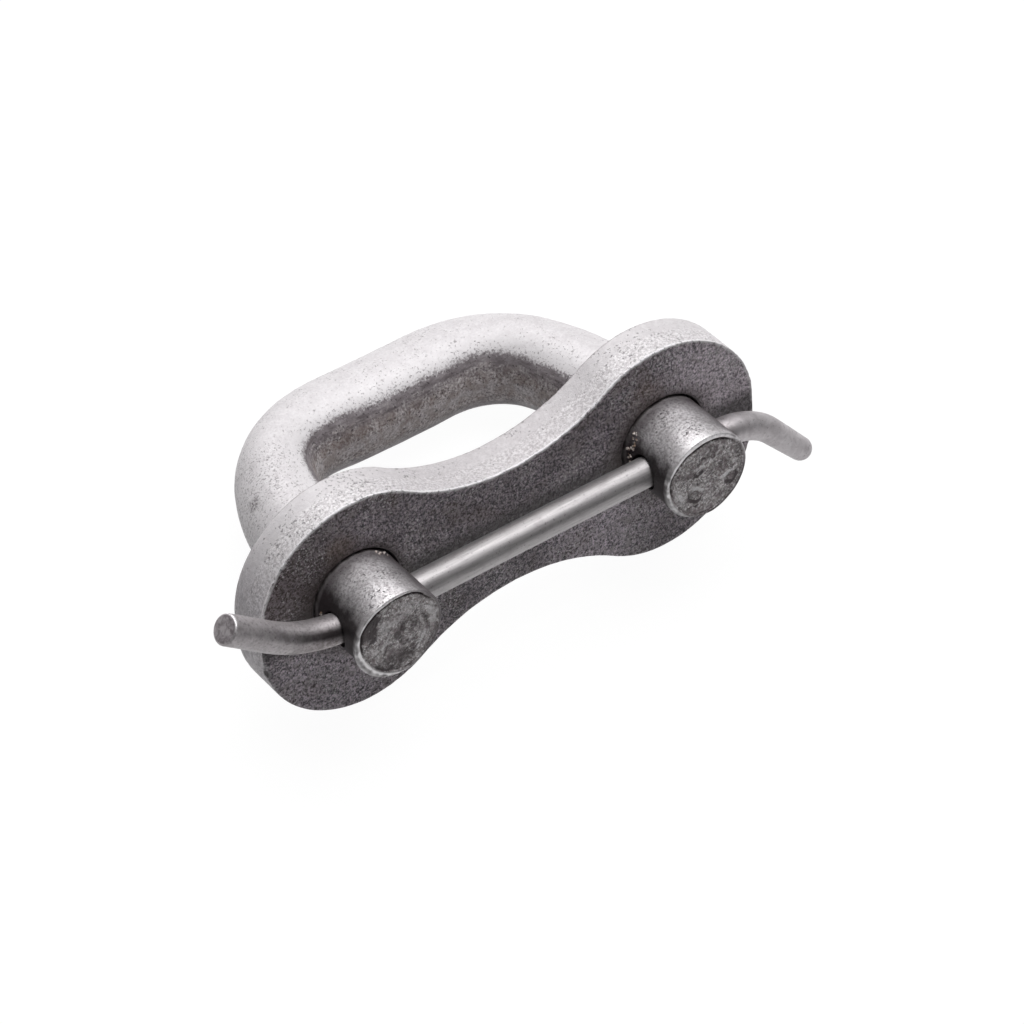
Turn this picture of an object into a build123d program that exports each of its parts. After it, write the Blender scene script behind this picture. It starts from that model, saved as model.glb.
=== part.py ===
from build123d import *

import os
from math import asin, atan2, cos, degrees, hypot, radians, sin

# Chain connecting link for 14 mm short-link chain. A bow of round bar carries the chain, a side
# plate closes it across its two straight ends, and a wire pin through both ends keeps the plate on.
#
# Every piece is drawn with the bow flat: X runs along the plate, Y from the plate's outer face
# (Y = 0) to the crest of the bow, and Z is square to the bow. Millimetres and degrees.

# Bow
bar_diameter = 14.0
arm_spacing = 53.7  # between the centre lines of the two arms
end_length = 10.6  # of each arm, in front of the plate
end_chamfer = 0.8
arm_behind_plate = 3.0  # straight stretch left for the plate to slide on
shoulder_radius = 31.0  # the gentle first bend of the centre line
shoulder_turn = 29.4
corner_radius = 16.5  # the tight second bend of the centre line

# Side plate, punched from flat bar
plate_length = 86.4
plate_width = 36.6
plate_waist = 20.8
plate_corner = 16.8
plate_end_flat = 0.2  # shortest straight stretch left between the two corners of an end
plate_thickness = 7.0
plate_roll_depth = 1.8  # the punch rolls the inner face's edge over: this far down the rim
plate_roll_width = 0.9  # and this far in across the face
plate_hole_rise = 1.8  # the holes sit this far above the middle of the plate's width
plate_hole_chamfer = 0.3
arm_clearance = 0.35  # all round each arm in its hole

# Locking pin, bent at both ends after it is pushed through
pin_diameter = 4.6
pin_gap = 2.0  # between the plate's outer face and the pin
pin_clearance = 0.45  # all round the pin in its cross holes
pin_cut_chamfer = 0.35
left_bend_depth = 3.55  # the bend starts this far inside the arm's outer side
left_bend_radius = 23.0
left_bend_angle = 38.0
left_tail = 8.2
right_bend_depth = 0.05
right_bend_radius = 12.3
right_bend_angle = 49.0
right_tail = 8.2
right_tip_diameter = 3.7  # the pin is drawn down from its right-hand bend to this rounded tip

arm_x = arm_spacing / 2
bar_radius = bar_diameter / 2
shoulder_y = plate_thickness + arm_behind_plate
pin_y = -(pin_gap + pin_diameter / 2)
shoulder_centre = Vector(arm_x - shoulder_radius, shoulder_y)
turned = Vector(cos(radians(shoulder_turn)), sin(radians(shoulder_turn)))
corner_centre = shoulder_centre + turned * (shoulder_radius - corner_radius)
crossbar_y = corner_centre.Y + corner_radius


def bow_corner():
    """Right-hand corner of the bow: a gentle bend at the shoulder, then a tight one to the crossbar."""
    shoulder = JernArc((arm_x, shoulder_y), (0, 1), shoulder_radius, shoulder_turn)
    corner = JernArc(shoulder @ 1, shoulder % 1, corner_radius, 90 - shoulder_turn)
    arm_end = Plane(origin=(arm_x, shoulder_y, 0), z_dir=(0, 1, 0)) * Circle(bar_radius)
    return sweep(arm_end, path=shoulder + corner)


def bow():
    """One bar: two straight ends, two corners and the crossbar between them."""
    arm_length = end_length + shoulder_y
    arm = Plane(origin=(arm_x, -end_length, 0), z_dir=(0, 1, 0)) * Cylinder(
        bar_radius, arm_length, align=(Align.CENTER, Align.CENTER, Align.MIN)
    )
    arm = chamfer(arm.edges().sort_by(Axis.Y)[0], end_chamfer)
    crossbar_half = corner_centre.X
    crossbar = Plane(origin=(0, crossbar_y, 0), z_dir=(1, 0, 0)) * Cylinder(
        bar_radius, crossbar_half, align=(Align.CENTER, Align.CENTER, Align.MIN)
    )
    half = Part() + [arm, bow_corner(), crossbar]
    bar = half + mirror(half, about=Plane.YZ)
    cross_hole = Plane(origin=(0, pin_y, 0), z_dir=(1, 0, 0)) * Cylinder(
        pin_diameter / 2 + pin_clearance, arm_spacing + 2 * bar_diameter
    )
    return bar - cross_hole


def plate_outline():
    """Two round lobes and a waist, from one quarter of the outline: x along the plate, y across it."""
    radius = min(plate_corner, (plate_width - plate_end_flat) / 2)
    corner = Vector(plate_length / 2 - radius, plate_width / 2 - radius)
    rise = plate_waist / 2 - corner.Y
    waist_radius = (corner.X**2 + rise**2 - radius**2) / (2 * (radius - rise))
    waist = Vector(0, plate_waist / 2 + waist_radius)
    meeting = corner + (waist - corner).normalized() * radius
    lean = atan2(waist.Y - corner.Y, -corner.X)
    middle = corner + Vector(cos(lean / 2), sin(lean / 2)) * radius
    end = Vector(plate_length / 2, corner.Y)
    quarter = Curve() + [
        Line((plate_length / 2, 0), end),
        ThreePointArc(end, middle, meeting),
        RadiusArc(meeting, (0, plate_waist / 2), waist_radius),
    ]
    half = quarter + mirror(quarter, about=Plane.YZ)
    return half + mirror(half, about=Plane.XZ)


def side_plate():
    """Punched plate: a sharp outer face, an inner face with its edge rolled over, and two holes."""
    blank = Pos(0, -plate_hole_rise) * make_face(plate_outline().edges())
    plate = extrude(Plane.XZ * blank, -plate_thickness)
    inner_face = plate.faces().sort_by(Axis.Y)[-1]
    plate = chamfer(inner_face.edges(), plate_roll_width, plate_roll_depth, reference=inner_face)
    hole_radius = bar_radius + arm_clearance
    for side in (-1, 1):
        plate -= Plane(origin=(side * arm_x, 0, 0), z_dir=(0, 1, 0)) * Cylinder(
            hole_radius, 4 * plate_thickness
        )
    circles = plate.edges().filter_by(GeomType.CIRCLE)
    rims = circles.filter_by(lambda edge: abs(edge.radius - hole_radius) < 0.01)
    return chamfer(rims, plate_hole_chamfer)


def bend(start, heading, turn, radius, tail):
    """A pin end from `start`: an arc that turns by `turn`, then a straight tail, both flat."""
    arc = JernArc(start=start, tangent=heading, radius=radius, arc_size=turn)
    return arc + Line(arc @ 1, arc @ 1 + (arc % 1) * tail)


def locking_pin():
    """Round wire: the left end is bent up and cut off square, the right end bent down to a round tip."""
    outer_side = arm_x + bar_radius
    left_start = (left_bend_depth - outer_side, 0)
    right_start = (outer_side - right_bend_depth, 0)
    left = bend(left_start, (-1, 0), -left_bend_angle, left_bend_radius, left_tail)
    right = bend(right_start, (1, 0), -right_bend_angle, right_bend_radius, right_tail)
    pin_plane = Plane.XZ.offset(-pin_y)
    shaft_route = pin_plane * (Line(right_start, left_start) + left)
    tip_route = pin_plane * right
    wire = Plane(origin=shaft_route @ 0, z_dir=shaft_route % 0) * Circle(pin_diameter / 2)
    shaft = sweep(wire, path=shaft_route)
    cut_face = shaft.faces().sort_by(Axis.X)[0]
    shaft = chamfer(cut_face.edges(), pin_cut_chamfer)
    thick = Plane(origin=tip_route @ 0, z_dir=tip_route % 0) * Circle(pin_diameter / 2)
    thin = Plane(origin=tip_route @ 1, z_dir=tip_route % 1) * Circle(right_tip_diameter / 2)
    taper = sweep([thick, thin], path=tip_route, multisection=True)
    tip = Plane(origin=tip_route @ 1, z_dir=tip_route % 1) * Sphere(
        right_tip_diameter / 2, arc_size1=0, align=(Align.CENTER, Align.CENTER, Align.MIN)
    )
    return shaft + taper + tip


def lying_angle():
    """How far the bow's crest hangs down when the link lies on that crest and the plate's lower edge."""
    lower_edge = plate_width / 2 + plate_hole_rise
    reach = crossbar_y - (plate_thickness - plate_roll_depth)
    slope = atan2(lower_edge, reach) - asin(bar_radius / hypot(lower_edge, reach))
    return degrees(slope)


def main():
    link = {"bow": bow(), "side_plate": side_plate(), "locking_pin": locking_pin()}
    tip_over = Rot(X=-lying_angle())
    laid = {node: tip_over * piece for node, piece in link.items()}
    box = Compound(list(laid.values())).bounding_box()
    set_down = Pos(-box.center().X, -box.center().Y, -box.min.Z)
    os.makedirs("parts", exist_ok=True)
    for node, piece in laid.items():
        export_step(set_down * piece, f"parts/{node}.step")
    print("lying angle", round(lying_angle(), 3))
    print("set down by", -box.center().X, -box.center().Y, -box.min.Z)


main()
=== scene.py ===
from contextlib import contextmanager
from math import atan2, ceil, cos, degrees, exp, hypot, pi, radians, sin

import bmesh
import bpy
import numpy as np
from mathutils import Matrix, Vector, noise
from mathutils.geometry import delaunay_2d_cdt


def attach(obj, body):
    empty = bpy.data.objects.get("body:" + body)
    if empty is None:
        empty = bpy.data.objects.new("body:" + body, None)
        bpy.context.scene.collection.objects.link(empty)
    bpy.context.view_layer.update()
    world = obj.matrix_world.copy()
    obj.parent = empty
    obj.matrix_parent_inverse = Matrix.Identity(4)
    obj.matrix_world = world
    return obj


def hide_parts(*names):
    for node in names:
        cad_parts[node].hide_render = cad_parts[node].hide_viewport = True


# A chain connecting link of tumbled steel, lying on the crest of its bow and the lower edge of its
# plate. Sizes are in millimetres with the bow flat: X runs along the plate, Y from the plate's
# outer face to the crest of the bow, Z square to the bow. `laid` puts them in the frame, in metres.

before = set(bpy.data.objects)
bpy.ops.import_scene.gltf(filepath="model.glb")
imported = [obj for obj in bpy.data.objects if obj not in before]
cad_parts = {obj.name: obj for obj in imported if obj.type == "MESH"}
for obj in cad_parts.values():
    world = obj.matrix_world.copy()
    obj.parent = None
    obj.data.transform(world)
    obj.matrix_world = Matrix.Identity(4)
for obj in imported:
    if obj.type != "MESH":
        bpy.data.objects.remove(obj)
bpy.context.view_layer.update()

LYING = radians(23.670)
SET_DOWN = Vector((0.9049, -12.7963, 20.4967))
laid = Matrix.Scale(0.001, 4) @ Matrix.Translation(SET_DOWN) @ Matrix.Rotation(-LYING, 4, "X")

# Bow. Its centre line turns round the shoulder's centre, then round the corner's.
BAR_RADIUS = 7.0
ARM_X = 26.85
END_Y = -10.6
END_ROUNDING = 0.8
SHOULDER_Y = 10.0
SHOULDER_RADIUS = 31.0
SHOULDER_TURN = radians(29.4)
CORNER_RADIUS = 16.5
SHOULDER_CENTRE = Vector((ARM_X - SHOULDER_RADIUS, SHOULDER_Y))
CORNER_CENTRE = SHOULDER_CENTRE + (SHOULDER_RADIUS - CORNER_RADIUS) * Vector(
    (cos(SHOULDER_TURN), sin(SHOULDER_TURN))
)
CROSSBAR_Y = CORNER_CENTRE.y + CORNER_RADIUS
CORNER_THINNING = {-1: 2.2, 1: 1.2}  # by side: -1 is the left one
THINNING_REACH = 9.0
THINNEST_TURN = radians(47)

# The bow's sheared ends, by side. Headings are in degrees round the bar from +X, places in
# millimetres from the middle of the face. A lip that the shear left stands round the face, and a
# ragged step leads down from it.
END_ZONE = 4.0  # no point farther from the end than this is worked
FACE_SINK = 0.14
LIP_WIDTH = 0.38
LIP_RAGGEDNESS = 0.14
LIP_FALL = 0.14  # the lip gives way to the face over this much
STEP_HALF_WIDTH = 0.24
STEP_DEPTH = 0.42
STEP = {-1: (112.0, 80.0), 1: (115.0, 75.0)}
# The lip is spread outwards at its heading, by this much, and less up to SPREAD_ANGLE from it
LIP_SPREAD = {-1: (205.0, 0.75), 1: (205.0, 0.4)}
SPREAD_ANGLE = 95.0
SPREAD_DEPTH = 3.4
# The ends' rounding is cut down to this share of END_ROUNDING, and left whole at its heading
SHARPEST = 0.28
ROUNDEST = {-1: (215.0, 75.0), 1: (215.0, 60.0)}
# Heading and width of the painted highlight along the lip
LIP_HIGHLIGHT = {-1: (200.0, 105.0), 1: (120.0, 130.0)}
# Where the lip is wider: heading, angle that the width fades over, extra width
LIP_WIDTHS = {
    -1: [(215.0, 60.0, 1.05), (120.0, 50.0, 0.25), (330.0, 70.0, 0.12)],
    1: [(100.0, 70.0, 0.50), (210.0, 45.0, 0.50), (320.0, 60.0, 0.05)],
}
# x, z, reach along, reach across, lean, tone (dark below 0, bright above), depth
PATCHES = {
    -1: [
        (-4.4, 3.0, 3.0, 1.3, 50, -1.0, 0.10), (-3.7, 1.4, 1.5, 1.1, 60, -0.75, 0.05),
        (-2.2, 1.6, 1.6, 1.2, 70, 0.35, -0.04), (1.2, 3.4, 3.4, 1.6, 20, 0.22, -0.03),
        (5.6, 0.8, 2.6, 1.0, 95, 0.42, -0.06), (4.2, 0.2, 2.3, 0.5, 100, -0.5, 0.08),
        (-1.2, -4.2, 4.4, 1.9, 0, -0.62, 0.06), (1.6, 0.8, 2.1, 1.9, 0, -0.45, 0.06),
        (3.6, -2.6, 2.2, 0.35, 60, 0.6, -0.06), (-5.5, -2.6, 1.5, 0.7, 110, 0.4, -0.05),
    ],
    1: [
        (-2.2, -2.4, 1.3, 1.1, 70, -0.35, 0.12), (-1.5, -2.9, 0.9, 0.7, 60, 0.15, -0.1),
        (4.0, -2.4, 1.5, 1.1, 50, -0.35, 0.12), (3.5, -1.4, 1.2, 0.3, 15, 0.75, -0.1),
        (1.9, 3.3, 1.5, 0.3, 50, 0.55, -0.08), (1.0, 3.6, 1.8, 0.8, 30, -0.45, 0.10),
        (-4.9, -1.9, 2.3, 1.1, 115, 0.42, -0.06), (-2.8, 1.9, 2.6, 1.2, 35, -0.2, 0.05),
        (2.2, 0.4, 2.4, 1.6, 0, -0.22, 0.04), (-2.4, -4.4, 1.8, 0.25, -5, -0.7, 0.08),
        (-0.6, 3.2, 0.5, 0.4, 0, -0.8, 0.14), (5.6, 1.4, 1.8, 0.5, 100, -0.4, 0.05),
    ],
}
# Round dents with a painted lit side and a painted shaded side: x, z, radius, heading of the lit side
DINGS = {
    -1: [(1.9, -0.4, 2.0, 30)],
    1: [(-1.9, -2.5, 1.15, 62), (4.2, -2.4, 1.1, 120), (-1.2, 1.2, 0.7, 80)],
}
# How strong the dents' painted light and shade are
DING_TONE = {-1: 0.35, 1: 1.0}
# x, z, length, lean, width, tone, depth
SCRATCHES = {
    -1: [
        (-2.6, -1.4, 3.6, 40, 0.22, 0.9, -0.05), (-2.3, -1.9, 3.2, 42, 0.20, -0.8, 0.08),
        (-3.3, -1.2, 2.0, 20, 0.24, 0.7, -0.05), (-3.6, -2.0, 2.4, 28, 0.22, -0.7, 0.08),
        (-1.6, -0.2, 2.0, 55, 0.18, 0.6, -0.04), (2.6, 2.0, 1.6, 160, 0.16, 0.6, -0.04),
    ],
    1: [
        (-1.2, 1.3, 1.4, 5, 0.22, 0.6, -0.05), (-1.1, 1.0, 1.4, 5, 0.2, -0.6, 0.07),
        (-1.8, -1.5, 1.2, 20, 0.26, 0.8, -0.06), (0.6, -0.6, 3.0, 25, 0.2, -0.4, 0.05),
    ],
}

# Side plate
PLATE_LENGTH = 86.4
PLATE_WIDTH = 36.6
PLATE_WAIST = 20.8
PLATE_CORNER = 16.8
PLATE_THICKNESS = 7.0
PLATE_DROP = 1.8
ROLL_DEPTH = 1.8
ROLL_WIDTH = 0.9
LEAST_ROLL = 0.42  # share of the roll that is left everywhere but along the lower edge
HOLE_RADIUS = 7.35
HOLE_CHAMFER = 0.3
FRONT_EDGE = [(0.0, 0.14), (0.03, 0.06), (0.1, 0.01)]  # depth, inset
GRID = 0.6  # between points of the plate's faces
BURR_WIDTH = 0.45
NOTCH_X, NOTCH_Z, NOTCH_REACH = -41.5, -6.5, 3.0

# Crumbs of scale caught on the arms' roots: side, heading round the bar, y, spread, count
CRUMB_HEAPS = [
    (1, 166, -0.9, 0.9, 14), (1, 152, -1.5, 0.8, 8), (1, 143, -1.0, 0.5, 4), (1, 178, -1.2, 0.4, 5),
    (-1, 172, -1.3, 0.4, 5), (-1, 60, -0.5, 0.5, 5), (-1, 48, -0.5, 0.4, 3),
]
CRUMB_LIFT = 0.04

# Locking pin. Its bends: where they start, radius, turn, straight tail
PIN_RADIUS = 2.3
PIN_Y = -4.3
CROSS_HOLE_RADIUS = 2.75
LEFT_BEND = (-30.3, 23.0, radians(38.0), 8.2)
RIGHT_BEND = (33.8, 12.3, radians(49.0), 8.2)
PIN_CUT_ROUNDING = 0.35
PIN_TIP_RADIUS = 1.85

# How the round bars are meshed
POLE = 0.004  # radius of the ring that starts an end
FACE_SLOPE = 0.0004  # each ring of a face lies this much behind the one inside it
ROUNDING_START = 0.02  # depth where the rounding of an end begins
MERGED = 0.02  # points closer than this are merged at the poles
SLIVER = 0.004


class Signal:
    """What a node puts out. Whatever is worked out from it puts more nodes into the same tree."""

    def __init__(self, bench, socket):
        self.bench, self.socket = bench, socket

    def __add__(self, other):
        return self.bench.sum("ADD", self, other)

    def __sub__(self, other):
        return self.bench.sum("SUBTRACT", self, other)

    def __rsub__(self, other):
        return self.bench.sum("SUBTRACT", other, self)

    def __mul__(self, other):
        return self.bench.sum("MULTIPLY", self, other)

    def __rtruediv__(self, other):
        return self.bench.sum("DIVIDE", other, self)

    def __abs__(self):
        return self.bench.sum("ABSOLUTE", self)

    def split(self):
        """The three numbers of a vector."""
        parts = self.bench.put("ShaderNodeSeparateXYZ", {0: self}).outputs
        return [Signal(self.bench, part) for part in parts]

    def ramp(self, low, high, to_low=0.0, to_high=1.0, smooth=False):
        """Runs from `to_low` to `to_high` while this runs from `low` to `high`."""
        sockets = {0: self, 1: low, 2: high, 3: to_low, 4: to_high}
        kind = "SMOOTHSTEP" if smooth else "LINEAR"
        return self.bench.made("ShaderNodeMapRange", sockets, interpolation_type=kind)

    def grade(self, low, high, under, over):
        """One colour where this is `low`, the other where it is `high`."""
        return self.bench.colour(self.ramp(low, high), under, over)

    def coats(self, *coats):
        """This colour under coats, the first one lowest. Each is its share and its colour."""
        base = self
        for share, coat in coats:
            base = self.bench.colour(share, base, coat)
        return base

    def noise(self, scale, detail=2.0, roughness=0.5, distortion=0.0):
        sockets = {"Vector": self, "Scale": scale, "Detail": detail, "Roughness": roughness}
        return self.bench.made("ShaderNodeTexNoise", {**sockets, "Distortion": distortion})

    def flecks(self, scale, share, crowd=None):
        """1 on small ragged flecks; they cover more where `crowd` nears 1."""
        field = self.noise(scale, 2.0, 0.75)
        if crowd:
            field = field + crowd * 0.11
        return field.ramp(0.72 - share, 0.76 - share)

    def spot(self, centre, inner, outer):
        """1 within `inner` of a centre, fading to 0 at `outer`."""
        return self.bench.vector("DISTANCE", self, centre).ramp(inner, outer, 1.0, 0.0, smooth=True)


class Bench:
    """A node tree being wired up: put() adds a node, sets its properties and fills its sockets."""

    def __init__(self, tree):
        self.tree = tree

    def put(self, kind, sockets=None, **properties):
        node = self.tree.nodes.new(kind)
        for name, value in properties.items():
            setattr(node, name, value)
        self.fill(node, sockets or {})
        return node

    def fill(self, node, sockets):
        """Links signals and sockets to a node's inputs, and sets the other values on them."""
        for key, value in sockets.items():
            value = value.socket if isinstance(value, Signal) else value
            if isinstance(value, bpy.types.NodeSocket):
                self.tree.links.new(value, node.inputs[key])
            else:
                node.inputs[key].default_value = value

    def made(self, kind, sockets=None, out=0, **properties):
        """The signal from one output of a new node."""
        return Signal(self, self.put(kind, sockets, **properties).outputs[out])

    def sum(self, operation, *values):
        return self.made("ShaderNodeMath", dict(enumerate(values)), operation=operation)

    def most(self, first, *others):
        """The largest of several signals."""
        for other in others:
            first = self.sum("MAXIMUM", first, other)
        return first

    def vector(self, operation, *values):
        keys = [0, 3] if operation == "SCALE" else range(len(values))
        out = 1 if operation == "DISTANCE" else 0
        return self.made("ShaderNodeVectorMath", dict(zip(keys, values)), out, operation=operation)

    def mark(self, name, out="Fac"):
        """What the mesh keeps under a name, for each of its points."""
        return self.made("ShaderNodeAttribute", out=out, attribute_name=name)

    def colour(self, share, under, over):
        return self.made("ShaderNodeMix", {0: share, 6: under, 7: over}, 2, data_type="RGBA")

    def bump(self, height, depth, strength):
        sockets = {"Height": height, "Distance": depth * 0.001, "Strength": strength}
        return self.made("ShaderNodeBump", sockets)


def steel(value, rust=0.0):
    """A steel grey, faintly mauve where it is dark; `rust` makes it browner."""
    mauve = (1 - value) ** 2
    return (value * (1.0 + 0.16 * mauve + rust), value * 0.975, value * (0.99 + 0.06 * mauve - rust), 1.0)


# ---- geometry


def store(mesh, name, values):
    """Keeps one number per point of a mesh, for its finish to read."""
    layer = mesh.attributes.new(name, "FLOAT", "POINT")
    layer.data.foreach_set("value", values)


def new_tree(name, inputs):
    """A geometry tree with named inputs, still to be filled; returns its bench and its inputs' signals."""
    tree = bpy.data.node_groups.new(name, "GeometryNodeTree")
    tree.interface.new_socket("Geometry", in_out="INPUT", socket_type="NodeSocketGeometry")
    for label, kind, value in [*inputs, ("Metal", "Material", None)]:
        socket = tree.interface.new_socket(label, in_out="INPUT", socket_type="NodeSocket" + kind)
        if value is not None:
            socket.default_value = value
    tree.interface.new_socket("Geometry", in_out="OUTPUT", socket_type="NodeSocketGeometry")
    bench = Bench(tree)
    return bench, {socket.name: Signal(bench, socket) for socket in bench.put("NodeGroupInput").outputs}


def end_tree(bench, given, geometry):
    """Makes a tree's instances real, sets the metal and returns the tree."""
    real = bench.made("GeometryNodeRealizeInstances", {0: geometry})
    metal = bench.made("GeometryNodeSetMaterial", {0: real, "Material": given["Metal"]})
    bench.put("NodeGroupOutput", {0: metal})
    return bench.tree


def pushed(bench, geometry, amount):
    """A mesh with its points moved along their normals."""
    push = bench.vector("SCALE", bench.made("GeometryNodeInputNormal"), amount)
    return bench.made("GeometryNodeSetPosition", {"Geometry": geometry, "Offset": push})


def bar_tree():
    """Round bar along a curve: a ring at every point of the curve, as wide as the curve's radius there.

    Each point keeps `along`, its distance along the bar, and `section`, its direction round the bar.
    """
    bench, given = new_tree("round_bar", [("Ring points", "Int", 96)])
    line = bench.made("GeometryNodeStoreNamedAttribute", {
        "Geometry": given["Geometry"],
        "Name": "along",
        "Value": bench.put("GeometryNodeSplineParameter").outputs["Length"],
    })
    ring = {"Resolution": given["Ring points"], "Radius": 1.0}
    ring = bench.made("GeometryNodeStoreNamedAttribute", data_type="FLOAT_VECTOR", sockets={
        "Geometry": bench.made("GeometryNodeCurvePrimitiveCircle", ring),
        "Name": "section",
        "Value": bench.made("GeometryNodeInputPosition"),
    })
    bar = bench.made("GeometryNodeCurveToMesh", {
        "Curve": line,
        "Profile Curve": ring,
        "Scale": bench.made("GeometryNodeInputRadius"),
        "Fill Caps": True,
    })
    return end_tree(bench, given, bench.made("GeometryNodeSetShadeSmooth", {"Geometry": bar}))


def tumbled_tree():
    """Tumbled skin: slow dents and small sharp pits, both pushed along the surface's normal."""
    bench, given = new_tree("tumbled_skin", [
        ("Dent size", "Float", 4.0),
        ("Dent depth", "Float", 0.05),
        ("Pit size", "Float", 1.2),
        ("Pit depth", "Float", 0.05),
        ("Seed", "Float", 1.0),
    ])
    seed = bench.made("ShaderNodeCombineXYZ", {0: given["Seed"]})
    where = bench.vector("ADD", bench.made("GeometryNodeInputPosition"), seed)
    dents = (where.noise(1.0 / given["Dent size"], 3.0, 0.45) - 0.5) * given["Dent depth"]
    pits = where.noise(1.0 / given["Pit size"], 1.0).ramp(0.62, 0.74) * given["Pit depth"]
    return end_tree(bench, given, pushed(bench, given["Geometry"], dents * 2.0 - pits))


def crumb_tree():
    """Crumbs of scale: a small lump at every point, each turned and sized by chance."""
    bench, given = new_tree("scale_crumbs", [
        ("Smallest", "Float", 0.10),
        ("Largest", "Float", 0.30),
        ("Seed", "Int", 1),
    ])
    lump = bench.made("GeometryNodeMeshIcoSphere", {"Radius": 1.0, "Subdivisions": 2})
    dents = bench.made("GeometryNodeInputPosition").noise(1.3).ramp(0.3, 0.7, -0.45, 0.35)
    turn = {0: (0, 0, 0), 1: (6.2, 6.2, 6.2), 8: given["Seed"]}
    size = {2: given["Smallest"], 3: given["Largest"], 8: given["Seed"]}
    crumbs = bench.made("GeometryNodeInstanceOnPoints", {
        "Points": given["Geometry"],
        "Instance": pushed(bench, lump, dents),
        "Rotation": bench.made("FunctionNodeRandomValue", turn, data_type="FLOAT_VECTOR"),
        "Scale": bench.made("FunctionNodeRandomValue", size, 1),
    })
    return end_tree(bench, given, crumbs)


def placed(name, data):
    """Puts an object of a mesh, curve, lamp or camera in the scene."""
    thing = bpy.data.objects.new(name, data)
    bpy.context.scene.collection.objects.link(thing)
    return thing


def settled(thing):
    """An object's mesh with its modifiers done; the modifiers are removed."""
    bpy.context.view_layer.update()
    evaluated = thing.evaluated_get(bpy.context.evaluated_depsgraph_get())
    mesh = bpy.data.meshes.new_from_object(evaluated)
    thing.modifiers.clear()
    return mesh


def worked(name, start, metal, trees):
    """Runs node trees over a mesh or a curve, one after the other; the result is a plain mesh."""
    thing = placed(start.name, start)
    for tree, sizes in trees:
        values = {**sizes, "Metal": metal}
        modifier = thing.modifiers.new(tree.name, "NODES")
        modifier.node_group = tree
        for item in tree.interface.items_tree:
            if item.in_out == "INPUT" and item.name in values:
                modifier[item.identifier] = values[item.name]
    mesh = settled(thing)
    mesh.name = name
    bpy.data.objects.remove(thing)
    return placed(name, mesh)


def path_curve(name, stations):
    """A curve through (point, radius) stations, for the round bar tree."""
    curve = bpy.data.curves.new(name, "CURVE")
    curve.dimensions = "3D"
    spline = curve.splines.new("POLY")
    spline.points.add(len(stations) - 1)
    for point, (place, radius) in zip(spline.points, stations):
        point.co = (*place, 1.0)
        point.radius = radius
    return curve


class Route:
    """A centre line being laid out. Each step returns its points, without the one it starts from."""

    def __init__(self, place, heading, spacing):
        self.place, self.heading, self.spacing = place, heading, spacing

    def run(self, length):
        """A straight run."""
        steps = max(1, ceil(length / self.spacing))
        points = [self.place + self.heading * (length * i / steps) for i in range(1, steps + 1)]
        self.place = points[-1]
        return points

    def arc(self, radius, turn, axis):
        """An arc that turns the heading about an axis."""
        centre = self.place + axis.cross(self.heading).normalized() * radius
        steps = max(2, ceil(turn * radius / self.spacing))
        turns = [Matrix.Rotation(turn * i / steps, 3, axis) for i in range(1, steps + 1)]
        points = [centre + t @ (self.place - centre) for t in turns]
        self.place, self.heading = points[-1], turns[-1] @ self.heading
        return points


def leans(steps):
    """Angles from 0 to a quarter turn, without the 0."""
    return [pi / 2 * i / steps for i in range(1, steps + 1)]


def face_stations(place, inwards, radius, rounding, rings):
    """Stations of a bar's end: from the middle of its face, out over the face and round its edge."""
    stations = []
    for i in range(1, rings + 1):
        reach = max(POLE, (radius - rounding) * i / rings)
        stations.append((place + inwards * (FACE_SLOPE * i), reach))
    for lean in leans(10):
        depth = ROUNDING_START + rounding * (1 - cos(lean))
        stations.append((place + inwards * depth, radius - rounding * (1 - sin(lean))))
    return stations


@contextmanager
def reshaping(mesh):
    """Opens a mesh for changes and writes them back at the end."""
    shape = bmesh.new()
    shape.from_mesh(mesh)
    yield shape
    shape.to_mesh(mesh)
    shape.free()


def close_poles(mesh):
    """Closes the tiny rings at a bar's two poles and turns every face outwards."""
    with reshaping(mesh) as shape:
        bmesh.ops.remove_doubles(shape, verts=shape.verts, dist=MERGED)
        bmesh.ops.recalc_face_normals(shape, faces=shape.faces)


def bow_stations():
    """The bow's centre line, from the left end to the right one, with the bar's radius all along."""
    up, heading = Vector((0, 0, 1)), Vector((0, 1, 0))
    half = face_stations(Vector((ARM_X, END_Y, 0)), heading, BAR_RADIUS, END_ROUNDING, rings=58)
    line = Route(half[-1][0], heading, spacing=0.36)
    points = line.run(SHOULDER_Y - line.place.y)
    points += line.arc(SHOULDER_RADIUS, SHOULDER_TURN, up)
    points += line.arc(CORNER_RADIUS, pi / 2 - SHOULDER_TURN, up)
    points += line.run(line.place.x)
    half += [(point, BAR_RADIUS) for point in points]
    mirrored = [(Vector((-p.x, p.y, p.z)), r) for p, r in half[:-1]]
    return mirrored + half[::-1]


def beside_line(flat):
    """Where a place lies from the bow's centre line: the direction outwards, how far out, and how far
    along the line from where its corner is thinnest."""
    shoulder_end = (SHOULDER_TURN - THINNEST_TURN) * CORNER_RADIUS
    if flat.y <= SHOULDER_Y:
        return Vector((1, 0)), flat.x - ARM_X, shoulder_end - SHOULDER_TURN * SHOULDER_RADIUS
    if flat.x <= CORNER_CENTRE.x:
        along = (pi / 2 - THINNEST_TURN) * CORNER_RADIUS + CORNER_CENTRE.x - flat.x
        return Vector((0, 1)), flat.y - CROSSBAR_Y, along
    away, radius = flat - CORNER_CENTRE, CORNER_RADIUS
    if atan2(away.y, away.x) < SHOULDER_TURN:
        away, radius = flat - SHOULDER_CENTRE, SHOULDER_RADIUS
    along = (atan2(away.y, away.x) - SHOULDER_TURN) * radius + shoulder_end
    return away.normalized(), away.length - radius, along


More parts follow.
